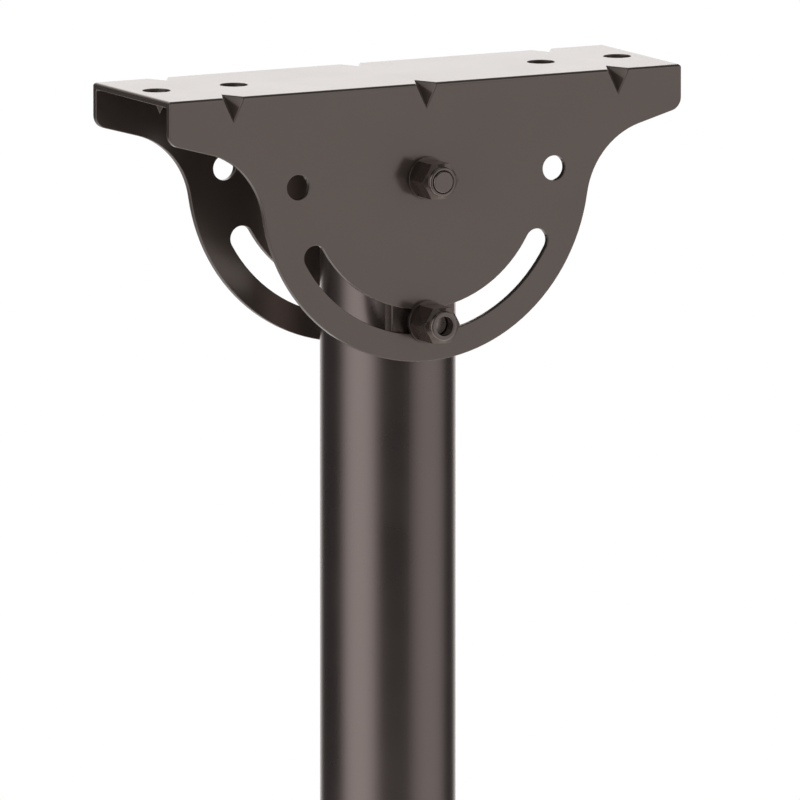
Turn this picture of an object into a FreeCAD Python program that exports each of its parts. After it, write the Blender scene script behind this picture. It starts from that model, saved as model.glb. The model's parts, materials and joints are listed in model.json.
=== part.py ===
import FreeCAD, Part
import math
import os

import Sketcher
from FreeCAD import Placement, Rotation, Vector

# Tilting ceiling mount for a round drop pole. A sheet is folded into a channel whose two cheeks
# hang from a web that is screwed to the ceiling. The pole hangs between the cheeks on a pivot
# bolt and is clamped by a second bolt that travels in an arc slot in each cheek.
#
# The origin is the centre of the web's upper face, which lies against the ceiling. X runs along
# the bracket, -Y is the side with the nuts and +Z points at the ceiling. Sizes are in mm.

SIZES = {
    # Folded bracket
    "bracket_length": 213.0,
    "sheet_thickness": 2.5,
    "bend_inner_radius": 0.6,
    "bend_outer_radius": 1.2,
    "flange_end_height": 16.0,
    "flange_edge_slope": 15.3,
    "flange_corner_radius": 5.0,
    "neck_radius": 30.0,
    "cheek_disc_radius": 68.0,
    "pivot_drop": 35.0,
    # Arc slots and holes
    "lock_circle_radius": 53.2,
    "slot_half_sweep": 60.0,
    "slot_side_clearance": 0.6,
    "ceiling_hole_diameter": 10.2,
    "inner_hole_spacing": 128.0,
    "outer_hole_inset": 10.5,
    # Stiffening darts pressed into both bends
    "dart_spacing": 80.0,
    "dart_width": 9.0,
    "dart_leg": 9.2,
    # Drop pole
    "pole_diameter": 50.0,
    "pole_wall": 2.0,
    "pole_top_rise": 18.0,
    "pole_length": 398.0,
    "pole_end_chamfer": 0.5,
    # Plastic saddles between the pole and the cheeks, as thick as this where the pole is widest
    "saddle_thickness": 2.3,
    "saddle_width": 26.0,
    "saddle_height": 26.0,
    "saddle_corner_chamfer": 3.0,
    # Crush sleeves inside the pole
    "sleeve_diameter": 12.0,
    # Bolts, nuts and washers. Each bolt ends a little below the outer face of its nut
    "bolt_diameter": 8.0,
    "bolt_tip_chamfer": 0.3,
    "pivot_bolt_recess": 0.6,
    "lock_bolt_recess": 5.8,
    "hex_across_flats": 13.0,
    "head_face_diameter": 12.2,
    "head_height": 5.3,
    "nut_face_diameter": 11.1,
    "nut_height": 12.4,
    "nut_countersink": 0.35,
    "washer_diameter": 16.0,
    "washer_thickness": 1.6,
    # Clearances
    "running_clearance": 0.1,
    "bolt_hole_clearance": 0.3,
    "thread_clearance": 0.05,
    "seat_clearance": 0.1,
    "slide_clearance": 0.1,
    "tool_overrun": 10.0,
}

# Formulas over the cells that more than one sub-part uses. The cheeks stand as far apart as the
# pole and its saddles need, so the bracket's depth follows from them
SADDLE_SEAT = "(Sizes.pole_diameter / 2 + Sizes.seat_clearance)"
SADDLE_BACK = f"({SADDLE_SEAT} + Sizes.saddle_thickness)"
CHEEK_INNER = f"({SADDLE_BACK} + Sizes.slide_clearance)"
CHEEK_OUTER = f"({CHEEK_INNER} + Sizes.sheet_thickness)"
POLE_INNER = "(Sizes.pole_diameter / 2 - Sizes.pole_wall)"
BOLT_HOLE = "Sizes.bolt_diameter / 2 + Sizes.bolt_hole_clearance"
SLOT_HALF_WIDTH = "(Sizes.bolt_diameter / 2 + Sizes.slot_side_clearance)"
THREAD_BORE = "Sizes.bolt_diameter / 2 + Sizes.thread_clearance"
HEX_CORNER = "Sizes.hex_across_flats / 2 / cos(30)"
LOCK_DEPTH = "(Sizes.pivot_drop + Sizes.lock_circle_radius)"
# The web's outer corner line to the bottom of a dart, and the same for the inner side of the sheet,
# which lies one sheet thickness further in, square to the dart's flanks
DART_DEPTH = "Sizes.dart_leg / sqrt(2)"
DART_INNER_SCALE = (
    "(1 + Sizes.sheet_thickness * sqrt(4 / Sizes.dart_width ^ 2 + 2 / Sizes.dart_leg ^ 2))"
)

# A sketch's own origin and axes, and the points of an edge, by the sketcher's numbers
ORIGIN_POINT = (-1, 1)
H_AXIS, START = ORIGIN_POINT
V_AXIS = H_AXIS - 1
END = START + 1
CENTRE = END + 1
AHEAD = Rotation(Vector(1, 0, 0), 90)
BEHIND = Rotation(Vector(1, 0, 0), -90)
UPRIGHT = Rotation()
TURNED = Rotation(Vector(0, 0, 1), 180)
AHEAD_ON_A_FLAT = AHEAD.multiply(Rotation(Vector(0, 0, 1), 30))
NEAR = 1e-4

os.makedirs("parts", exist_ok=True)
doc = FreeCAD.newDocument("ceiling_mount")
sheet = doc.addObject("Spreadsheet::Sheet", "Sizes")
for row, (alias, size) in enumerate(SIZES.items(), start=1):
    sheet.set(f"A{row}", alias)
    sheet.set(f"B{row}", str(size))
    sheet.setAlias(f"B{row}", alias)
doc.recompute()


def value(formula):
    """The number that a formula over the cells gives."""
    return float(sheet.evalExpression(formula))


def bind(thing, path, formula):
    """Tie a property to a formula over the cells."""
    thing.setExpression(path, formula)


def body_named(label, rotation=UPRIGHT, along_y="0", along_z="0"):
    """An empty body, turned and set on the mid plane at a depth and a height."""
    body = doc.addObject("PartDesign::Body", label)
    body.Label = label
    body.Placement = Placement(Vector(0, value(along_y), value(along_z)), rotation)
    bind(body, "Placement.Base.y", along_y)
    bind(body, "Placement.Base.z", along_z)
    return body


def sketch_on(body, name, role):
    """A sketch on one of the body's own origin planes."""
    plane = next(item for item in body.Origin.OriginFeatures if item.Role == role)
    sketch = body.newObject("Sketcher::SketchObject", f"{body.Name}_{name}")
    sketch.AttachmentSupport = [(plane, "")]
    sketch.MapMode = "FlatFace"
    return sketch


def rule(sketch, kind, *references):
    """A constraint without a size."""
    sketch.addConstraint(Sketcher.Constraint(kind, *references))


def size(sketch, kind, *references, formula):
    """A constraint whose size follows a formula over the cells."""
    number = value(formula)
    if kind == "Angle":
        number = math.radians(number)
    index = sketch.addConstraint(Sketcher.Constraint(kind, *references, number))
    if kind == "Angle":
        formula = f"({formula}) * 1 deg"
    bind(sketch, f"Constraints[{index}]", formula)


def line(sketch, start, end):
    """A straight edge between two points of the sketch."""
    return sketch.addGeometry(Part.LineSegment(Vector(*start), Vector(*end)), False)


def arc(sketch, centre, radius, first, last):
    """An arc that runs anticlockwise from one angle to another, in degrees."""
    circle = Part.Circle(Vector(*centre), Vector(0, 0, 1), radius)
    return sketch.addGeometry(
        Part.ArcOfCircle(circle, math.radians(first), math.radians(last)), False
    )


def circle_at_origin(sketch, radius):
    """A circle about the sketch's origin."""
    index = sketch.addGeometry(Part.Circle(Vector(), Vector(0, 0, 1), value(radius)), False)
    rule(sketch, "Coincident", index, CENTRE, *ORIGIN_POINT)
    size(sketch, "Radius", index, formula=radius)


def circle_on_axis(sketch, radius, drop):
    """A circle on the upright axis, a given drop below the sketch's origin."""
    centre = Vector(0, -value(drop), 0)
    index = sketch.addGeometry(Part.Circle(centre, Vector(0, 0, 1), value(radius)), False)
    rule(sketch, "PointOnObject", index, CENTRE, V_AXIS)
    size(sketch, "DistanceY", index, CENTRE, *ORIGIN_POINT, formula=drop)
    size(sketch, "Radius", index, formula=radius)


def circle_pair(sketch, radius, spacing, drop=None):
    """Two circles either side of the upright axis, on or below the level one."""
    level = 0 if drop is None else -value(drop)
    half = value(spacing) / 2
    pair = []
    for across in (-half, half):
        circle = Part.Circle(Vector(across, level, 0), Vector(0, 0, 1), value(radius))
        pair.append(sketch.addGeometry(circle, False))
    left, right = pair
    rule(sketch, "Symmetric", left, CENTRE, right, CENTRE, V_AXIS)
    rule(sketch, "Equal", left, right)
    size(sketch, "DistanceX", left, CENTRE, right, CENTRE, formula=spacing)
    if drop is None:
        rule(sketch, "PointOnObject", right, CENTRE, H_AXIS)
    else:
        size(sketch, "DistanceY", right, CENTRE, *ORIGIN_POINT, formula=drop)
    size(sketch, "Radius", right, formula=radius)


def closed_outline(sketch, corners, dimensions):
    """A closed polygon whose corners are fixed from the origin by pairs of formulas.

    Each of the dimensions names a corner, its distance across and its distance up from the origin,
    and a distance of zero holds the corner on that axis.
    """
    count = len(corners)
    edges = [line(sketch, corners[i], corners[(i + 1) % count]) for i in range(count)]
    for i in range(count):
        rule(sketch, "Coincident", edges[i], END, edges[(i + 1) % count], START)
    for corner, across, up in dimensions:
        for kind, axis, formula, place in (
            ("DistanceX", V_AXIS, across, corners[corner][0]),
            ("DistanceY", H_AXIS, up, corners[corner][1]),
        ):
            if formula == "0":
                rule(sketch, "PointOnObject", edges[corner], START, axis)
            elif place > 0:
                size(sketch, kind, *ORIGIN_POINT, edges[corner], START, formula=formula)
            else:
                size(sketch, kind, edges[corner], START, *ORIGIN_POINT, formula=formula)
    return edges


def polygon_from(sketch, points):
    """A closed polygon from signed pairs of formulas, each corner fixed from the origin."""
    corners = []
    dimensions = []
    for index, (side_x, across, side_y, up) in enumerate(points):
        corners.append((side_x * value(across), side_y * value(up)))
        dimensions.append((index, across, up))
    return closed_outline(sketch, corners, dimensions)


def pad(body, sketch, length, side="One side", reverse=False):
    """Extrude a sketch into solid metal or plastic."""
    feature = body.newObject("PartDesign::Pad", f"{sketch.Name}_pad")
    feature.Profile = sketch
    feature.SideType = side
    feature.Reversed = reverse
    bind(feature, "Length", length)
    sketch.Visibility = False
    doc.recompute()
    return feature


def cut_through(body, sketch):
    """Cut a sketch right through the body, both ways."""
    before = body.Shape.Volume
    feature = body.newObject("PartDesign::Pocket", f"{sketch.Name}_pocket")
    feature.Profile = sketch
    feature.SideType = "Symmetric"
    feature.Type = "ThroughAll"
    sketch.Visibility = False
    doc.recompute()
    require_cut(body, before, feature)
    return feature


def turn_away(body, sketch, axis):
    """Turn material away round an axis of the sketch."""
    before = body.Shape.Volume
    feature = body.newObject("PartDesign::Groove", f"{sketch.Name}_groove")
    feature.Profile = sketch
    feature.ReferenceAxis = (sketch, [axis])
    feature.Angle = 360
    sketch.Visibility = False
    doc.recompute()
    require_cut(body, before, feature)
    return feature


def require_cut(body, before, feature):
    """Stop if a cut has taken nothing away."""
    if body.Shape.Volume > before - NEAR:
        raise RuntimeError(f"{feature.Name} cuts nothing")


def dress(body, kind, path, formula, chosen):
    """Fillet or chamfer the edges of the body that a test chooses."""
    base = body.Tip
    names = [f"Edge{i}" for i, edge in enumerate(base.Shape.Edges, start=1) if chosen(edge)]
    if not names:
        raise RuntimeError(f"{body.Label} has no edge to dress")
    feature = body.newObject(kind, f"{base.Name}_dressed")
    feature.Base = (base, names)
    bind(feature, path, formula)
    doc.recompute()
    return feature


def hexagon(sketch):
    """A hexagon with corners up and down, held by a construction circle."""
    radius = value(HEX_CORNER)
    corners = [
        (radius * math.cos(math.radians(30 + 60 * i)), radius * math.sin(math.radians(30 + 60 * i)))
        for i in range(6)
    ]
    edges = [line(sketch, corners[i], corners[(i + 1) % 6]) for i in range(6)]
    guide = sketch.addGeometry(Part.Circle(Vector(), Vector(0, 0, 1), radius), True)
    rule(sketch, "Coincident", guide, CENTRE, *ORIGIN_POINT)
    size(sketch, "Radius", guide, formula=HEX_CORNER)
    for i in range(6):
        rule(sketch, "Coincident", edges[i], END, edges[(i + 1) % 6], START)
        rule(sketch, "PointOnObject", edges[i], START, guide)
    for i in range(1, 6):
        rule(sketch, "Equal", edges[0], edges[i])
    rule(sketch, "PointOnObject", edges[1], START, V_AXIS)


def cheek_outline(sketch):
    """Half of the cheek: top edge, end, sloping lower edge, neck and the disc round the pivot."""
    half = value("Sizes.bracket_length / 2")
    end_height = value("Sizes.flange_end_height")
    slope = math.radians(value("Sizes.flange_edge_slope"))
    corner = value("Sizes.flange_corner_radius")
    neck = value("Sizes.neck_radius")
    disc = value("Sizes.cheek_disc_radius")
    drop = value("Sizes.pivot_drop")

    inward = Vector(-math.cos(slope), -math.sin(slope), 0)
    below = Vector(math.sin(slope), -math.cos(slope), 0)
    edge_end = Vector(half, -end_height, 0)
    pivot = Vector(0, -drop, 0)
    # Along the sloping edge, the neck's centre lies where it touches the disc from outside
    reach = edge_end + below * neck - pivot
    along = -reach.dot(inward) - math.sqrt(
        reach.dot(inward) ** 2 - reach.dot(reach) + (disc + neck) ** 2
    )
    neck_centre = edge_end + inward * along + below * neck
    neck_start = edge_end + inward * along
    corner_run = corner * (1 - math.sin(slope)) / math.cos(slope)
    corner_centre = edge_end + inward * corner_run - below * corner
    corner_start = edge_end + inward * corner_run
    to_neck = neck_centre - pivot
    neck_angle = math.degrees(math.atan2(to_neck.y, to_neck.x))
    slope_angle = math.degrees(slope)

    top = line(sketch, (0, 0), (half, 0))
    end = line(sketch, (half, 0), (half, corner_centre.y))
    rounding = arc(sketch, corner_centre, corner, slope_angle - 90, 0)
    lower = line(sketch, neck_start, corner_start)
    hollow = arc(sketch, neck_centre, neck, slope_angle + 90, neck_angle + 180)
    round_edge = arc(sketch, pivot, disc, -90, neck_angle)
    middle = line(sketch, (0, -drop - disc), (0, 0))
    tip = sketch.addGeometry(Part.Point(edge_end), True)

    rule(sketch, "Coincident", top, START, *ORIGIN_POINT)
    rule(sketch, "Horizontal", top)
    rule(sketch, "Coincident", top, END, end, START)
    rule(sketch, "Vertical", end)
    rule(sketch, "Tangent", end, END, rounding, END)
    rule(sketch, "Tangent", rounding, START, lower, END)
    rule(sketch, "Tangent", lower, START, hollow, START)
    rule(sketch, "Tangent", hollow, END, round_edge, END)
    rule(sketch, "PointOnObject", round_edge, CENTRE, V_AXIS)
    rule(sketch, "PointOnObject", round_edge, START, V_AXIS)
    rule(sketch, "Coincident", round_edge, START, middle, START)
    rule(sketch, "Coincident", middle, END, *ORIGIN_POINT)
    rule(sketch, "PointOnObject", tip, START, end)
    rule(sketch, "PointOnObject", tip, START, lower)
    size(sketch, "DistanceX", top, START, top, END, formula="Sizes.bracket_length / 2")
    size(sketch, "DistanceY", tip, START, *ORIGIN_POINT, formula="Sizes.flange_end_height")
    size(sketch, "Angle", lower, formula="Sizes.flange_edge_slope")
    size(sketch, "Radius", rounding, formula="Sizes.flange_corner_radius")
    size(sketch, "Radius", hollow, formula="Sizes.neck_radius")
    size(sketch, "Radius", round_edge, formula="Sizes.cheek_disc_radius")
    size(sketch, "DistanceY", round_edge, CENTRE, *ORIGIN_POINT, formula="Sizes.pivot_drop")


def arc_slot(sketch):
    """The slot that the lock bolt travels in, with round ends, centred on the pivot."""
    middle = value("Sizes.lock_circle_radius")
    half_width = value(SLOT_HALF_WIDTH)
    sweep = value("Sizes.slot_half_sweep")
    pivot = Vector(0, -value("Sizes.pivot_drop"), 0)
    turn = math.radians(sweep)
    right_centre = pivot + Vector(middle * math.sin(turn), -middle * math.cos(turn), 0)
    left_centre = pivot + Vector(-middle * math.sin(turn), -middle * math.cos(turn), 0)

    outer = arc(sketch, pivot, middle + half_width, -90 - sweep, sweep - 90)
    inner = arc(sketch, pivot, middle - half_width, -90 - sweep, sweep - 90)
    right = arc(sketch, right_centre, half_width, sweep - 90, sweep + 90)
    left = arc(sketch, left_centre, half_width, 90 - sweep, 270 - sweep)

    rule(sketch, "PointOnObject", outer, CENTRE, V_AXIS)
    rule(sketch, "Coincident", inner, CENTRE, outer, CENTRE)
    rule(sketch, "Tangent", outer, END, right, START)
    rule(sketch, "Tangent", right, END, inner, END)
    rule(sketch, "Tangent", inner, START, left, START)
    rule(sketch, "Tangent", left, END, outer, START)
    size(sketch, "DistanceY", outer, CENTRE, *ORIGIN_POINT, formula="Sizes.pivot_drop")
    size(
        sketch, "Radius", outer,
        formula=f"Sizes.lock_circle_radius + {SLOT_HALF_WIDTH}",
    )
    end_across = "Sizes.lock_circle_radius * sin(Sizes.slot_half_sweep)"
    size(sketch, "DistanceX", outer, CENTRE, right, CENTRE, formula=end_across)
    size(sketch, "DistanceX", left, CENTRE, outer, CENTRE, formula=end_across)
    size(sketch, "Radius", right, formula=SLOT_HALF_WIDTH)


def dart_grooves(body, scale):
    """V grooves across both long upper edges, at 45 degrees, one at each dart.

    The sketch lies in a plane that holds the bracket's outer corner line and runs down into the
    corner. Cut square to that plane, each triangle leaves two flanks that meet in a valley.
    """
    sketch = sketch_on(body, "darts", "XY_Plane")
    corner_y = -value(CHEEK_OUTER)
    tilt = Rotation(Vector(1, 0, 0), -45)
    sketch.AttachmentOffset = Placement(Vector(0, corner_y, 0), tilt)
    bind(sketch, "AttachmentOffset.Base.y", f"-{CHEEK_OUTER}")
    half = f"Sizes.dart_width / 2 * {scale}"
    depth = f"{DART_DEPTH} * {scale}"
    for place in (-1, 0, 1):
        middle = place * value("Sizes.dart_spacing")
        corners = [(middle - value(half), 0), (middle + value(half), 0), (middle, value(depth))]
        edges = [line(sketch, corners[i], corners[(i + 1) % 3]) for i in range(3)]
        for i in range(3):
            rule(sketch, "Coincident", edges[i], END, edges[(i + 1) % 3], START)
        rule(sketch, "PointOnObject", edges[0], START, H_AXIS)
        rule(sketch, "PointOnObject", edges[0], END, H_AXIS)
        rule(sketch, "Equal", edges[1], edges[2])
        size(sketch, "DistanceX", edges[0], START, edges[0], END, formula=f"2 * {half}")
        size(sketch, "DistanceY", edges[0], START, edges[2], START, formula=depth)
        if place == 0:
            rule(sketch, "PointOnObject", edges[2], START, V_AXIS)
        elif place < 0:
            size(
                sketch, "DistanceX", edges[2], START, *ORIGIN_POINT,
                formula="Sizes.dart_spacing",
            )
        else:
            size(
                sketch, "DistanceX", *ORIGIN_POINT, edges[2], START,
                formula="Sizes.dart_spacing",
            )
    front = cut_through(body, sketch)
    before = body.Shape.Volume
    mirrored = body.newObject("PartDesign::Mirrored", f"{body.Name}_rear_darts")
    mirrored.Originals = [front]
    mirrored.MirrorPlane = (plane_of(body, "XZ_Plane"), [""])
    body.Tip = mirrored
    doc.recompute()
    require_cut(body, before, mirrored)


def plane_of(body, role):
    """One of the body's own origin planes."""
    return next(item for item in body.Origin.OriginFeatures if item.Role == role)


def long_upper_edge(half_depth, level):
    """A test for the two long edges at a half depth and a height."""
    def chosen(edge):
        return all(
            abs(abs(vertex.Y) - half_depth) < NEAR and abs(vertex.Z - level) < NEAR
            for vertex in edge.Vertexes
        )
    return chosen


def make_bracket():
    """The folded bracket: an outer form with holes, slots and darts, less the channel inside it."""
    outer = body_named("bracket_outer_form")
    sketch = sketch_on(outer, "cheek", "XZ_Plane")
    cheek_outline(sketch)
    half = pad(outer, sketch, f"2 * {CHEEK_OUTER}", side="Symmetric")
    whole = outer.newObject("PartDesign::Mirrored", "bracket_other_half")
    whole.Originals = [half]
    whole.MirrorPlane = (plane_of(outer, "YZ_Plane"), [""])
    whole.Refine = True
    outer.Tip = whole
    doc.recompute()
    dress(
        outer, "PartDesign::Fillet", "Radius", "Sizes.bend_outer_radius",
        long_upper_edge(value(CHEEK_OUTER), 0),
    )
    dart_grooves(outer, "1")

    sketch = sketch_on(outer, "slots", "XZ_Plane")
    arc_slot(sketch)
    circle_on_axis(sketch, BOLT_HOLE, "Sizes.pivot_drop")
    circle_pair(sketch, SLOT_HALF_WIDTH, "2 * Sizes.lock_circle_radius", "Sizes.pivot_drop")
    cut_through(outer, sketch)

    sketch = sketch_on(outer, "ceiling_holes", "XY_Plane")
    outer_spacing = "Sizes.bracket_length - 2 * Sizes.outer_hole_inset"
    for spacing in ("Sizes.inner_hole_spacing", outer_spacing):
        circle_pair(sketch, "Sizes.ceiling_hole_diameter / 2", spacing)
    cut_through(outer, sketch)

    inner = body_named("bracket_inner_form")
    sketch = sketch_on(inner, "channel", "YZ_Plane")
    floor = "Sizes.pivot_drop + Sizes.cheek_disc_radius + Sizes.tool_overrun"
    polygon_from(sketch, [
        (-1, CHEEK_INNER, -1, "Sizes.sheet_thickness"),
        (-1, CHEEK_INNER, -1, floor),
        (1, CHEEK_INNER, -1, floor),
        (1, CHEEK_INNER, -1, "Sizes.sheet_thickness"),
    ])
    pad(inner, sketch, "Sizes.bracket_length + 2 * Sizes.tool_overrun", side="Symmetric")
    dress(
        inner, "PartDesign::Fillet", "Radius", "Sizes.bend_inner_radius",
        long_upper_edge(value(CHEEK_INNER), -value("Sizes.sheet_thickness")),
    )
    dart_grooves(inner, DART_INNER_SCALE)

    bracket = doc.addObject("Part::Cut", "ceiling_bracket")
    bracket.Label = "ceiling_bracket"
    bracket.Base = outer
    bracket.Tool = inner
    bracket.Refine = True
    doc.recompute()
    return bracket


def make_pole():
    """The drop pole: a round tube with a cross hole for each bolt."""
    body = body_named("pole", along_z="-Sizes.pivot_drop")
    sketch = sketch_on(body, "section", "XY_Plane")
    bind(sketch, "AttachmentOffset.Base.z", "Sizes.pole_top_rise")
    circle_at_origin(sketch, "Sizes.pole_diameter / 2")
    circle_at_origin(sketch, POLE_INNER)
    pad(body, sketch, "Sizes.pole_length", reverse=True)
    ends = (value("Sizes.pole_top_rise"), value("Sizes.pole_top_rise - Sizes.pole_length"))
    rim = value("Sizes.pole_diameter / 2")

    def outer_end(edge):
        box = edge.BoundBox
        return abs(box.XMax - rim) < NEAR and any(
            abs(box.ZMin - end) < NEAR and abs(box.ZMax - end) < NEAR for end in ends
        )

    dress(body, "PartDesign::Chamfer", "Size", "Sizes.pole_end_chamfer", outer_end)
    sketch = sketch_on(body, "cross_holes", "XZ_Plane")
    circle_at_origin(sketch, BOLT_HOLE)
    circle_on_axis(sketch, BOLT_HOLE, "Sizes.lock_circle_radius")
    cut_through(body, sketch)
    return body


def make_saddle(label, rotation, along_z):
    """A moulded spacer: flat against the cheek, hollowed to the pole, with a hole for the bolt."""
    body = body_named(label, rotation, "0", along_z)
    sketch = sketch_on(body, "plan", "XY_Plane")
    half = value("Sizes.saddle_width / 2")
    back = -value(SADDLE_BACK)
    radius = value(SADDLE_SEAT)
    rim = -math.sqrt(radius ** 2 - half ** 2)
    rim_angle = math.degrees(math.atan2(rim, half))
    outer = line(sketch, (-half, back), (half, back))
    right = line(sketch, (half, back), (half, rim))
    seat = arc(sketch, (0, 0), radius, -180 - rim_angle, rim_angle)
    left = line(sketch, (-half, rim), (-half, back))
    rule(sketch, "Coincident", outer, END, right, START)
    rule(sketch, "Coincident", right, END, seat, END)
    rule(sketch, "Coincident", seat, START, left, START)
    rule(sketch, "Coincident", left, END, outer, START)
    rule(sketch, "Coincident", seat, CENTRE, *ORIGIN_POINT)
    rule(sketch, "Symmetric", outer, START, outer, END, V_AXIS)
    rule(sketch, "Vertical", right)
    rule(sketch, "Vertical", left)
    size(sketch, "Radius", seat, formula=SADDLE_SEAT)
    size(sketch, "DistanceX", outer, START, outer, END, formula="Sizes.saddle_width")
    size(sketch, "DistanceY", outer, START, *ORIGIN_POINT, formula=SADDLE_BACK)
    pad(body, sketch, "Sizes.saddle_height", side="Symmetric")
    half_height = value("Sizes.saddle_height / 2")

    def corner(edge):
        return all(
            abs(abs(vertex.X) - half) < NEAR and abs(abs(vertex.Z) - half_height) < NEAR
            for vertex in edge.Vertexes
        ) and edge.BoundBox.XLength < NEAR and edge.BoundBox.ZLength < NEAR

    dress(body, "PartDesign::Chamfer", "Size", "Sizes.saddle_corner_chamfer", corner)
    sketch = sketch_on(body, "hole", "XZ_Plane")
    circle_at_origin(sketch, BOLT_HOLE)
    cut_through(body, sketch)
    return body


def make_sleeve(label, bore, along_z):
    """A crush sleeve across the inside of the pole, round one of the bolts."""
    body = body_named(label, along_z=along_z)
    sketch = sketch_on(body, "section", "XZ_Plane")
    circle_at_origin(sketch, "Sizes.sleeve_diameter / 2")
    circle_at_origin(sketch, bore)
    chord = f"sqrt({POLE_INNER} ^ 2 - (Sizes.sleeve_diameter / 2) ^ 2)"
    pad(body, sketch, f"2 * ({chord} - Sizes.seat_clearance)", side="Symmetric")
    return body


def make_bolt(label, length, along_y, along_z):
    """A hexagon head bolt that lies along Y with its head behind the rear cheek."""
    body = body_named(label, BEHIND, along_y, along_z)
    sketch = sketch_on(body, "head", "XY_Plane")
    hexagon(sketch)
    pad(body, sketch, "Sizes.head_height")
    chamfer_corners(body, "head", "Sizes.head_face_diameter", "Sizes.head_height")
    sketch = sketch_on(body, "shank", "XY_Plane")
    circle_at_origin(sketch, "Sizes.bolt_diameter / 2")
    pad(body, sketch, length, reverse=True)
    tip = -value(length)
    dress(
        body, "PartDesign::Chamfer", "Size", "Sizes.bolt_tip_chamfer",
        lambda edge: abs(edge.BoundBox.ZMax - tip) < NEAR,
    )
    return body


def chamfer_corners(body, name, face_diameter, height):
    """Turn the corners of a hexagon down at 30 degrees, from the circle round its end face."""
    sketch = sketch_on(body, f"{name}_chamfer", "XZ_Plane")
    inner = f"{face_diameter} / 2"
    outer = f"({HEX_CORNER} + Sizes.tool_overrun)"
    foot = f"{height} - ({outer} - {inner}) * tan(30)"
    side = 1 if value(foot) > 0 else -1
    polygon_from(sketch, [
        (1, inner, 1, height),
        (1, outer, side, f"abs({foot})"),
        (1, outer, 1, height),
    ])
    turn_away(body, sketch, "V_Axis")


def make_nut(label, rotation, along_y, along_z):
    """A tall hexagon nut: corners turned down at the outer end, the bore countersunk there."""
    body = body_named(label, rotation, along_y, along_z)
    sketch = sketch_on(body, "hexagon", "XY_Plane")
    hexagon(sketch)
    pad(body, sketch, "Sizes.nut_height")
    chamfer_corners(body, "end", "Sizes.nut_face_diameter", "Sizes.nut_height")
    sketch = sketch_on(body, "bore", "XZ_Plane")
    mouth = f"{THREAD_BORE} + Sizes.nut_countersink"
    through = "Sizes.nut_height + Sizes.tool_overrun"
    polygon_from(sketch, [
        (1, "0", -1, "Sizes.tool_overrun"),
        (1, THREAD_BORE, -1, "Sizes.tool_overrun"),
        (1, THREAD_BORE, 1, "Sizes.nut_height - Sizes.nut_countersink"),
        (1, mouth, 1, "Sizes.nut_height"),
        (1, mouth, 1, through),
        (1, "0", 1, through),
    ])
    turn_away(body, sketch, "V_Axis")
    return body


def make_washer(label, rotation, along_y, along_z):
    """A plain flat washer."""
    body = body_named(label, rotation, along_y, along_z)
    sketch = sketch_on(body, "section", "XY_Plane")
    circle_at_origin(sketch, "Sizes.washer_diameter / 2")
    circle_at_origin(sketch, BOLT_HOLE)
    pad(body, sketch, "Sizes.washer_thickness")
    return body


def make_joint_hardware(name, seat, drop, recess, nut_rotation, sleeve_bore):
    """The bolt, washers, nut, saddles and sleeve of one bolted joint, at a drop below the web."""
    height = f"-{drop}"
    bearing = f"({seat} + Sizes.washer_thickness)"
    bolt_length = f"2 * {bearing} + Sizes.nut_height - {recess}"
    return [
        make_bolt(f"{name}_bolt", bolt_length, bearing, height),
        make_washer(f"{name}_washer_rear", BEHIND, seat, height),
        make_washer(f"{name}_washer_front", AHEAD, f"-{seat}", height),
        make_nut(f"{name}_nut", nut_rotation, f"-{bearing}", height),
        make_saddle(f"{name}_saddle_front", UPRIGHT, height),
        make_saddle(f"{name}_saddle_rear", TURNED, height),
        make_sleeve(f"{name}_sleeve", sleeve_bore, height),
    ]


nodes = [make_bracket(), make_pole()]
# The pivot bolt stays with the bracket, and the pole's sleeve turns on it
nodes += make_joint_hardware(
    "pivot", CHEEK_OUTER, "Sizes.pivot_drop", "Sizes.pivot_bolt_recess", AHEAD_ON_A_FLAT,
    "Sizes.bolt_diameter / 2 + Sizes.running_clearance",
)
# The lock bolt travels with the pole, so its washers clear the cheeks by a sliding fit
nodes += make_joint_hardware(
    "lock", f"({CHEEK_OUTER} + Sizes.slide_clearance)", LOCK_DEPTH, "Sizes.lock_bolt_recess",
    AHEAD, BOLT_HOLE,
)
doc.recompute()

for item in doc.Objects:
    if "Invalid" in item.State or "Error" in item.State:
        raise RuntimeError(f"{item.Label} failed: {item.State}")
    if item.TypeId == "Sketcher::SketchObject" and not item.FullyConstrained:
        raise RuntimeError(f"{item.Label} is not fully constrained")
for node in nodes:
    shape = node.Shape
    if shape.isNull() or not shape.isValid() or len(shape.Solids) != 1:
        raise RuntimeError(f"{node.Label} is not one valid solid")
for node in nodes:
    node.Shape.exportStep(os.path.join("parts", f"{node.Label}.step"))
    box = node.Shape.BoundBox
    print(
        f"{node.Label}: {node.Shape.Volume:.1f} mm3,"
        f" x {box.XMin:.2f} to {box.XMax:.2f}, y {box.YMin:.2f} to {box.YMax:.2f},"
        f" z {box.ZMin:.2f} to {box.ZMax:.2f}"
    )
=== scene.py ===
import json
import math

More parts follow.
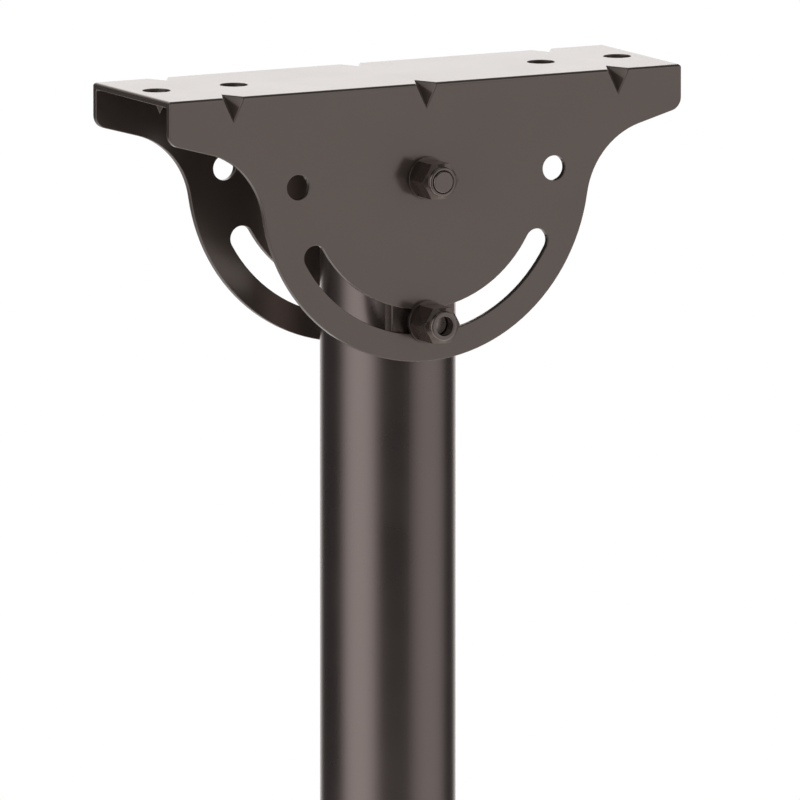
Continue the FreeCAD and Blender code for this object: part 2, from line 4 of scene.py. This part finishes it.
import bmesh
import bpy
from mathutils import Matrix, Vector


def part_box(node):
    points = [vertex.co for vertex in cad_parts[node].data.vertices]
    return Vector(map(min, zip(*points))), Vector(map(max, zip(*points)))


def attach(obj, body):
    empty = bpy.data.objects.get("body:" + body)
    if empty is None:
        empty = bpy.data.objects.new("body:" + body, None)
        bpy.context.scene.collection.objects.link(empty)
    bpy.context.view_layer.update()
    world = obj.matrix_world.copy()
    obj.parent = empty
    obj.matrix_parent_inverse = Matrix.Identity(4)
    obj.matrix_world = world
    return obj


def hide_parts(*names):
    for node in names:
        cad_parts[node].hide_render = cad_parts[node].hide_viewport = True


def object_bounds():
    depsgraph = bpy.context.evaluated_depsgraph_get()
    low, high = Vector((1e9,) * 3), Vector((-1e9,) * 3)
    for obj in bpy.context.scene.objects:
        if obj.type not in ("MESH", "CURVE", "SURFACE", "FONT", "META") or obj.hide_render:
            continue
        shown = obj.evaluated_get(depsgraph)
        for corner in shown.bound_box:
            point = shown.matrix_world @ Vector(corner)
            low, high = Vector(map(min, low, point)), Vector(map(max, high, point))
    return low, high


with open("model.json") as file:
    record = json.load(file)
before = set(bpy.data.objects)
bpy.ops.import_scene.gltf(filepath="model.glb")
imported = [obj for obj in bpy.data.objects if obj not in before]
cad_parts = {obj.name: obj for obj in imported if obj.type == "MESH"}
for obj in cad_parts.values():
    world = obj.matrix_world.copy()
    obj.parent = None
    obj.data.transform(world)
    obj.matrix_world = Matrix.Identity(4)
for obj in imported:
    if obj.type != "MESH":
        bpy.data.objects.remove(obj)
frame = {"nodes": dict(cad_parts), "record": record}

cad_low, cad_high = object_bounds()

MM = 0.001

# The photograph is close to a parallel view, so the camera stands far off with a long lens
VIEW_AZIMUTH = -28.32
VIEW_ELEVATION = 8.62
VIEW_WIDTH = 293.6 * MM
VIEW_RIGHT = 4.5 * MM
VIEW_DOWN = 119.97 * MM
LENS = 1300
SENSOR = 36
CLIP_START = 0.1
CLIP_END = 200

# The nodes whose cut edges show in the light, and how far each edge is rounded
EDGE_ROUNDING = {
    "ceiling_bracket": 0.34 * MM,
}
for joint in ("pivot", "lock"):
    EDGE_ROUNDING[f"{joint}_nut"] = 0.06 * MM
    for piece in ("bolt", "washer_front", "washer_rear"):
        EDGE_ROUNDING[f"{joint}_{piece}"] = 0.12 * MM
    for piece in ("saddle_front", "saddle_rear"):
        EDGE_ROUNDING[f"{joint}_{piece}"] = 0.6 * MM

# Points nearer than this are made one, edges flatter than this are dropped, and edges sharper
# than this are rounded
MERGE_DISTANCE = 0.001 * MM
FLAT_ANGLE = math.radians(0.3)
SHARP_ANGLE = math.radians(32)
ROUNDING_SEGMENTS = 2
FLAT_FACE_WEIGHT = 100

# A locking nut: a hexagon, then a low round collar with a ring in it, tight round the thread
NUT_TURNS = 96
HEXAGON_TURN = math.radians(60)
NUT_APOTHEM = 6.5 * MM
NUT_SEAT_RADIUS = 6.9 * MM
NUT_CORNER_SLOPE = math.tan(math.radians(22))
COLLAR_HEIGHT = 1.4 * MM
COLLAR_RADIUS = 5.5 * MM
COLLAR_ROUNDING = 0.7 * MM
COLLAR_ROUNDING_DEGREES = range(0, 91, 15)
RING_DEPTH = 2.6 * MM
THREAD_RADIUS = 4.05 * MM

# How far each nut ends short of its CAD node, and its ring's radius and chamfer. The pivot bolt
# stands a little proud of its nut, and the lock bolt ends below the ring
LOCKING_NUTS = {
    "pivot_nut": (1.0 * MM, THREAD_RADIUS, 0.4 * MM),
    "lock_nut": (0, 3.55 * MM, 0.12 * MM),
}

# How near a face lies to a bolt's very end to be part of it
END_TOLERANCE = 0.01 * MM

# The brown coats, each by its lighter and darker colour, roughness, share of metal, and the
# roughness of its clear top. The nuts' one is the fasteners' coat made darker, as painted shade
# on the nuts' hexagons and bores and on the washers
COATS = {
    "bracket_coat": ((0.192, 0.154, 0.136), (0.18, 0.144, 0.127), 0.2, 0.64, 0.14),
    "pole_coat": ((0.208, 0.167, 0.157), (0.198, 0.158, 0.148), 0.28, 0.93, 0.22),
    "dark_fastener": ((0.205, 0.165, 0.149), (0.188, 0.151, 0.136), 0.24, 0.84, 0.14),
    # A darker copy of dark_fastener: painted shade on the nuts' hexagons and bores and on the
    # washers
    "nut_painted_shade": ((0.15, 0.116, 0.102), (0.136, 0.105, 0.092), 0.27, 0.84, 0.14),
}

# The plastic, by the same values, and the plated steels, by their colours and share of metal
SPACER_PLASTIC = ((0.17, 0.138, 0.122), (0.156, 0.126, 0.112), 0.24, 0.8, 0.16)
PLAIN_STEEL = ((0.6, 0.6, 0.6), (0.46, 0.46, 0.47), 1.0)
# The lock bolt's bare cut end, made pale so that it stays light deep in the nut's ring: bare steel
# and painted light
BARE_END_PAINTED_LIGHT = ((0.92, 0.82, 0.77), (0.78, 0.69, 0.65), 0.5)

# The clear top on the coats and the plastic
TOP_WEIGHT = 0.6
TOP_IOR = 1.4
COAT_TINT = (1, 0.93, 0.9, 1)

# The detail of each surface: cycles to the metre, and the height and strength of each bump
COAT_DRIFT = 28.0
COAT_PEEL = (620.0, 0.06 * MM, 0.08)
COAT_GRAIN = (4200.0, 0.012 * MM, 0.07)
PLASTIC_DRIFT = 60.0
PLASTIC_GRAIN = (2600.0, 0.03 * MM, 0.1)
STEEL_MOTTLE = 320.0
STEEL_LINES = (2400.0, 0.01 * MM, 0.2)
STEEL_ROUGHNESS = (0.24, 0.4)
STEEL_STRETCH = (1, 0.04, 1)

# The middle of a noise, where nearly all of its values lie
NOISE_MIDDLE = (0.3, 0.7)

# How far the roughness moves below and above its own value
COAT_SPREAD = (-0.02, 0.03)
PLASTIC_SPREAD = (-0.04, 0.04)

# The level of the surround at each elevation: dim at eye height, brighter towards the floor,
# above eye height and overhead
STUDIO_SURROUND = (
    (-28, 0.45), (-14, 0.06), (13, 0.06), (19, 0.3), (29, 0.3), (35, 0.06), (62, 0.06), (78, 0.5)
)

# Light panels, each by its azimuth from the camera's own, elevation, the angles where it is full
# and where it is gone, and its level. The last stands for the white backdrop
STUDIO_PANELS = (
    (-50, 4, 8, 45, 1.07),
    (75, 2, 10, 47, 0.585),
    (180, 12, 10, 45, 1.17),
)

# The floor's radius, how far it lies below the pole, where it starts to fade and is gone, its
# grey, and how much of its white the camera sees, over what the light gives it
FLOOR_RADIUS = 1.4
FLOOR_DROP = 0.03
FLOOR_SEGMENTS = 96
FLOOR_FADE = (0.25, 0.7)
FLOOR_GREY = 0.9
FLOOR_PALENESS = 0.6


def direction(azimuth, elevation):
    """A unit vector towards an azimuth, counted from -Y towards +X, and an elevation."""
    turn = math.radians(azimuth)
    lift = math.radians(elevation)
    return Vector((
        math.sin(turn) * math.cos(lift), -math.cos(turn) * math.cos(lift), math.sin(lift)
    ))


def placed(name, data):
    """An object in the scene."""
    thing = bpy.data.objects.new(name, data)
    bpy.context.scene.collection.objects.link(thing)
    return thing


def place_camera():
    """The camera at the photograph's angle, with the photograph's frame."""
    data = bpy.data.cameras.new("camera")
    data.lens = LENS
    data.sensor_width = SENSOR
    data.clip_start = CLIP_START
    data.clip_end = CLIP_END
    camera = placed("camera", data)
    towards = direction(VIEW_AZIMUTH, VIEW_ELEVATION)
    turn = math.radians(VIEW_AZIMUTH)
    right = Vector((math.cos(turn), math.sin(turn), 0))
    up = towards.cross(right)
    target = right * VIEW_RIGHT - up * VIEW_DOWN
    camera.location = target + towards * (VIEW_WIDTH * LENS / SENSOR)
    camera.rotation_euler = towards.to_track_quat("Z", "Y").to_euler()
    bpy.context.scene.camera = camera


def socket(node, name, amount):
    """Set one input of a node."""
    node.inputs[name].default_value = amount


def new_material(name):
    """A material and its empty node tree."""
    material = bpy.data.materials.new(name)
    material.use_nodes = True
    tree = material.node_tree
    tree.nodes.clear()
    return material, tree


def own_space(tree):
    """The object's own coordinates, in metres."""
    return tree.nodes.new("ShaderNodeTexCoord").outputs["Object"]


def noise(tree, vector, scale, detail=2.0, roughness=0.5):
    """A noise texture, with its scale in cycles to the metre."""
    node = tree.nodes.new("ShaderNodeTexNoise")
    tree.links.new(vector, node.inputs["Vector"])
    socket(node, "Scale", scale)
    socket(node, "Detail", detail)
    socket(node, "Roughness", roughness)
    return node.outputs["Fac"]


def mapped(tree, value, source, target=(0, 1), smooth=False):
    """A value taken from one range to another, and held at its ends."""
    node = tree.nodes.new("ShaderNodeMapRange")
    if smooth:
        node.interpolation_type = "SMOOTHSTEP"
    tree.links.new(value, node.inputs["Value"])
    for side, limits in (("From", source), ("To", target)):
        socket(node, f"{side} Min", limits[0])
        socket(node, f"{side} Max", limits[1])
    return node.outputs["Result"]


def mixed(tree, factor, first, second):
    """A colour between two colours."""
    node = tree.nodes.new("ShaderNodeMix")
    node.data_type = "RGBA"
    tree.links.new(factor, node.inputs["Factor"])
    socket(node, "A", (*first, 1))
    socket(node, "B", (*second, 1))
    return node.outputs["Result"]


def mottled(tree, pattern, light, dark):
    """A colour that a noise moves between a lighter and a darker one."""
    return mixed(tree, mapped(tree, pattern, NOISE_MIDDLE), dark, light)


def bumped(tree, pattern, height, strength, normal=None):
    """A bump of a real height, on top of another one if it is given."""
    node = tree.nodes.new("ShaderNodeBump")
    tree.links.new(pattern, node.inputs["Height"])
    socket(node, "Strength", strength)
    socket(node, "Distance", height)
    if normal is not None:
        tree.links.new(normal, node.inputs["Normal"])
    return node.outputs["Normal"]


def shaded(tree, colour, roughness, normal, metallic, **sockets):
    """The material's own shader and output."""
    shader = tree.nodes.new("ShaderNodeBsdfPrincipled")
    output = tree.nodes.new("ShaderNodeOutputMaterial")
    tree.links.new(colour, shader.inputs["Base Color"])
    tree.links.new(roughness, shader.inputs["Roughness"])
    tree.links.new(normal, shader.inputs["Normal"])
    socket(shader, "Metallic", metallic)
    for name, amount in sockets.items():
        socket(shader, name.replace("_", " "), amount)
    tree.links.new(shader.outputs["BSDF"], output.inputs["Surface"])


def powder_coat(name, light, dark, rough, metallic, top_rough):
    """Baked brown coat on steel: faint orange peel, fine grain, slow drift in tone, clear top."""
    material, tree = new_material(name)
    space = own_space(tree)
    peel_scale, *peel_bump = COAT_PEEL
    grain_scale, *grain_bump = COAT_GRAIN
    drift = noise(tree, space, COAT_DRIFT, detail=3.0)
    peel = noise(tree, space, peel_scale, detail=1.0)
    grain = noise(tree, space, grain_scale)
    colour = mottled(tree, drift, light, dark)
    roughness = mapped(tree, drift, NOISE_MIDDLE, [rough + part for part in COAT_SPREAD])
    normal = bumped(tree, grain, *grain_bump, bumped(tree, peel, *peel_bump))
    shaded(
        tree, colour, roughness, normal, metallic, Specular_Tint=COAT_TINT,
        Coat_Weight=TOP_WEIGHT, Coat_Roughness=top_rough, Coat_IOR=TOP_IOR,
    )
    return material


def moulded_plastic(name, light, dark, rough, metallic, top_rough):
    """Brown moulded plastic with a metallic filler and a fine spark-eroded texture."""
    material, tree = new_material(name)
    space = own_space(tree)
    grain_scale, *grain_bump = PLASTIC_GRAIN
    drift = noise(tree, space, PLASTIC_DRIFT)
    grain = noise(tree, space, grain_scale, detail=3.0)
    colour = mottled(tree, drift, light, dark)
    roughness = mapped(tree, grain, NOISE_MIDDLE, [rough + part for part in PLASTIC_SPREAD])
    normal = bumped(tree, grain, *grain_bump)
    shaded(
        tree, colour, roughness, normal, metallic,
        Coat_Weight=TOP_WEIGHT, Coat_Roughness=top_rough, Coat_IOR=TOP_IOR,
    )
    return material


def plated_steel(name, light, dark, metallic):
    """Plated steel: pale, with drawn lines along Y and a mottled plating."""
    material, tree = new_material(name)
    space = own_space(tree)
    lines_scale, *lines_bump = STEEL_LINES
    stretched = tree.nodes.new("ShaderNodeMapping")
    tree.links.new(space, stretched.inputs["Vector"])
    socket(stretched, "Scale", STEEL_STRETCH)
    lines = noise(tree, stretched.outputs["Vector"], lines_scale)
    mottle = noise(tree, space, STEEL_MOTTLE, detail=3.0)
    colour = mottled(tree, mottle, light, dark)
    roughness = mapped(tree, lines, NOISE_MIDDLE, STEEL_ROUGHNESS)
    normal = bumped(tree, lines, *lines_bump)
    shaded(tree, colour, roughness, normal, metallic)
    return material


def rounded(name, data, width):
    """An object whose sharp edges are rounded and whose flats stay flat in the light."""
    piece = placed(name, data)
    rounding = piece.modifiers.new("rounding", "BEVEL")
    rounding.width = width
    rounding.segments = ROUNDING_SEGMENTS
    rounding.limit_method = "ANGLE"
    rounding.angle_limit = SHARP_ANGLE
    rounding.use_clamp_overlap = False
    shading = piece.modifiers.new("shading", "WEIGHTED_NORMAL")
    shading.mode = "FACE_AREA"
    shading.weight = FLAT_FACE_WEIGHT
    return piece


def softened(name, width):
    """A copy of a CAD node whose sharp edges are rounded."""
    data = frame["nodes"][name].data.copy()
    mesh = bmesh.new()
    mesh.from_mesh(data)
    bmesh.ops.remove_doubles(mesh, verts=mesh.verts, dist=MERGE_DISTANCE)
    bmesh.ops.dissolve_limit(mesh, angle_limit=FLAT_ANGLE, verts=mesh.verts, edges=mesh.edges)
    for face in mesh.faces:
        face.smooth = True
    mesh.to_mesh(data)
    mesh.free()
    return rounded(f"{name}_soft", data, width)


def nut_profile(corner, height, ring, chamfer):
    """A nut's section at one turn, in three parts: the hexagon, the collar and the bore.

    Each point is a distance along the axis from the seat, and a radius."""
    seat = min(corner, NUT_SEAT_RADIUS)
    shoulder = height - COLLAR_HEIGHT
    hexagon = [
        (0, THREAD_RADIUS),
        (0, seat),
        ((corner - seat) * NUT_CORNER_SLOPE, corner),
        (shoulder - (corner - COLLAR_RADIUS) * NUT_CORNER_SLOPE, corner),
        (shoulder, COLLAR_RADIUS),
    ]
    collar = [
        (
            height - COLLAR_ROUNDING * (1 - math.sin(math.radians(part))),
            COLLAR_RADIUS - COLLAR_ROUNDING * (1 - math.cos(math.radians(part))),
        )
        for part in COLLAR_ROUNDING_DEGREES
    ]
    collar += [(height, ring + chamfer), (height - chamfer, ring)]
    bore = [(height - RING_DEPTH, ring), (height - RING_DEPTH, THREAD_RADIUS)]
    return hexagon, collar, bore


def locking_nut(name, width, painted_shade_material):
    """A locking nut in the place of a CAD nut, with a flat upwards and its collar towards -Y.

    The collar has the CAD node's material, and the hexagon and the bore a darker copy of it, which
    paints shade on them."""
    low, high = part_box(name)
    axis_x, axis_z = (low.x + high.x) / 2, (low.z + high.z) / 2
    short, ring, chamfer = LOCKING_NUTS[name]
    height = high.y - low.y - short
    mesh = bmesh.new()
    rows = []
    for turn in range(NUT_TURNS):
        angle = math.radians(360 * turn / NUT_TURNS)
        corner = NUT_APOTHEM / math.cos(angle % HEXAGON_TURN - HEXAGON_TURN / 2)
        hexagon, collar, bore = nut_profile(corner, height, ring, chamfer)
        rows.append([
            mesh.verts.new((
                axis_x + radius * math.cos(angle), high.y - along, axis_z + radius * math.sin(angle)
            ))
            for along, radius in hexagon + collar + bore
        ])
    collar_steps = range(len(hexagon), len(hexagon) + len(collar))
    for row, after in zip(rows, rows[1:] + rows[:1]):
        for place in range(len(row)):
            step = (place + 1) % len(row)
            face = mesh.faces.new((row[place], row[step], after[step], after[place]))
            face.smooth = True
            face.material_index = 0 if step in collar_steps else 1
    bmesh.ops.remove_doubles(mesh, verts=mesh.verts, dist=MERGE_DISTANCE)
    bmesh.ops.recalc_face_normals(mesh, faces=mesh.faces)
    data = bpy.data.meshes.new(f"{name}_locking")
    mesh.to_mesh(data)
    mesh.free()
    data.materials.append(frame["nodes"][name].data.materials[0])
    # The second material paints shade on the hexagon and the bore
    data.materials.append(painted_shade_material)
    return rounded(f"{name}_locking", data, width)


def paint_light_on_bare_end(bolt, material):
    """A pale material on the bolt's bare cut end, its furthest face towards -Y: bare steel, and
    painted light where the nut's ring shades it.
    """
    bolt.data.materials.append(material)
    end = min(vertex.co.y for vertex in bolt.data.vertices)
    for face in bolt.data.polygons:
        if face.center.y < end + END_TOLERANCE:
            face.material_index = len(bolt.data.materials) - 1


def dress_nodes():
    """Give every CAD node its material, and replace those whose edges show by softer copies."""
    materials = {name: powder_coat(name, *coat) for name, coat in COATS.items()}
    materials["spacer_plastic"] = moulded_plastic("spacer_plastic", *SPACER_PLASTIC)
    materials["plain_steel"] = plated_steel("plain_steel", *PLAIN_STEEL)
    bare_end_painted_light = plated_steel("bare_end_painted_light", *BARE_END_PAINTED_LIGHT)
    slots = {part["node"]: part["material_slot"] for part in frame["record"]["subparts"]}
    bodies = frame["record"]["behaviour"]["bodies"]
    body_of_node = {node: body for body, nodes in bodies.items() for node in nodes}
    for name, node in frame["nodes"].items():
        node.data.materials.clear()
        # The washers take the nuts' darker coat, which paints shade round the nuts
        node.data.materials.append(materials["nut_painted_shade" if "washer" in name else slots[name]])
        if name in EDGE_ROUNDING:
            if name in LOCKING_NUTS:
                piece = locking_nut(name, EDGE_ROUNDING[name], materials["nut_painted_shade"])
            else:
                piece = softened(name, EDGE_ROUNDING[name])
            # The lock bolt ends deep in its nut's ring, so its pale end paints light into that
            # recess
            if name == "lock_bolt":
                paint_light_on_bare_end(piece, bare_end_painted_light)
            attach(piece, body_of_node[name])
            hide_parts(name)


def combined(tree, operation, first, second):
    """Two values put together by a math operation."""
    node = tree.nodes.new("ShaderNodeMath")
    node.operation = operation
    for place, item in enumerate((first, second)):
        if isinstance(item, (int, float)):
            node.inputs[place].default_value = item
        else:
            tree.links.new(item, node.inputs[place])
    return node.outputs["Value"]


def surround(tree, around):
    """The light that comes from all sides, by elevation."""
    parts = tree.nodes.new("ShaderNodeSeparateXYZ")
    tree.links.new(around, parts.inputs["Vector"])
    ramp = tree.nodes.new("ShaderNodeValToRGB")
    tree.links.new(mapped(tree, parts.outputs["Z"], (-1, 1)), ramp.inputs["Fac"])
    stops = ramp.color_ramp.elements
    stops.remove(stops[1])
    for place, (elevation, level) in enumerate(STUDIO_SURROUND):
        stop = stops[0] if place == 0 else stops.new(1)
        stop.position = (math.sin(math.radians(elevation)) + 1) / 2
        stop.color = (level, level, level, 1)
    return ramp.outputs["Color"]


def panel(tree, around, azimuth, elevation, inner, outer, level):
    """A soft round light panel in the world: full inside one angle, gone outside another."""
    facing = tree.nodes.new("ShaderNodeVectorMath")
    facing.operation = "DOT_PRODUCT"
    tree.links.new(around, facing.inputs[0])
    facing.inputs[1].default_value = direction(azimuth, elevation)
    edge = (math.cos(math.radians(outer)), math.cos(math.radians(inner)))
    return mapped(tree, facing.outputs["Value"], edge, (0, level), smooth=True)


def light_studio():
    """Soft panels in a banded surround, which the camera sees as white."""
    world = bpy.data.worlds.new("studio")
    bpy.context.scene.world = world
    world.use_nodes = True
    tree = world.node_tree
    tree.nodes.clear()
    around = tree.nodes.new("ShaderNodeTexCoord").outputs["Generated"]
    light = surround(tree, around)
    for azimuth, *rest in STUDIO_PANELS:
        light = combined(tree, "ADD", light, panel(tree, around, VIEW_AZIMUTH + azimuth, *rest))
    path = tree.nodes.new("ShaderNodeLightPath")
    white = combined(
        tree, "MAXIMUM", path.outputs["Is Camera Ray"], path.outputs["Is Transmission Ray"]
    )
    strength = tree.nodes.new("ShaderNodeMix")
    tree.links.new(white, strength.inputs["Factor"])
    tree.links.new(light, strength.inputs["A"])
    socket(strength, "B", 1.0)
    background = tree.nodes.new("ShaderNodeBackground")
    socket(background, "Color", (1, 1, 1, 1))
    tree.links.new(strength.outputs["Result"], background.inputs["Strength"])
    output = tree.nodes.new("ShaderNodeOutputWorld")
    tree.links.new(background.outputs["Background"], output.inputs["Surface"])


def mixed_shader(tree, factor, first, second):
    """A mix of two shaders."""
    node = tree.nodes.new("ShaderNodeMixShader")
    for place, item in enumerate((factor, first, second)):
        tree.links.new(item, node.inputs[place])
    return node.outputs["Shader"]


def lay_floor():
    """A pale floor below the pole that takes its shadow and fades into the white backdrop.

    Reflections see it as white."""
    data = bpy.data.meshes.new("floor")
    mesh = bmesh.new()
    bmesh.ops.create_circle(mesh, cap_ends=True, segments=FLOOR_SEGMENTS, radius=FLOOR_RADIUS)
    mesh.to_mesh(data)
    mesh.free()
    floor = placed("floor", data)
    floor.location = (0, 0, cad_low[2] - FLOOR_DROP)
    material, tree = new_material("pale_floor")
    data.materials.append(material)
    length = tree.nodes.new("ShaderNodeVectorMath")
    length.operation = "LENGTH"
    tree.links.new(own_space(tree), length.inputs[0])
    fade = mapped(tree, length.outputs["Value"], FLOOR_FADE, smooth=True)
    pale = tree.nodes.new("ShaderNodeBsdfDiffuse")
    socket(pale, "Color", (FLOOR_GREY, FLOOR_GREY, FLOOR_GREY, 1))
    white = tree.nodes.new("ShaderNodeEmission")
    clear = tree.nodes.new("ShaderNodeBsdfTransparent")
    path = tree.nodes.new("ShaderNodeLightPath")
    seen = combined(tree, "MULTIPLY", path.outputs["Is Camera Ray"], FLOOR_PALENESS)
    shown = combined(tree, "MAXIMUM", path.outputs["Is Glossy Ray"], seen)
    surface = mixed_shader(tree, shown, pale.outputs["BSDF"], white.outputs["Emission"])
    faded = mixed_shader(tree, fade, surface, clear.outputs["BSDF"])
    output = tree.nodes.new("ShaderNodeOutputMaterial")
    tree.links.new(faded, output.inputs["Surface"])


place_camera()
dress_nodes()
light_studio()
lay_floor()
bpy.context.scene.view_settings.view_transform = "Standard"
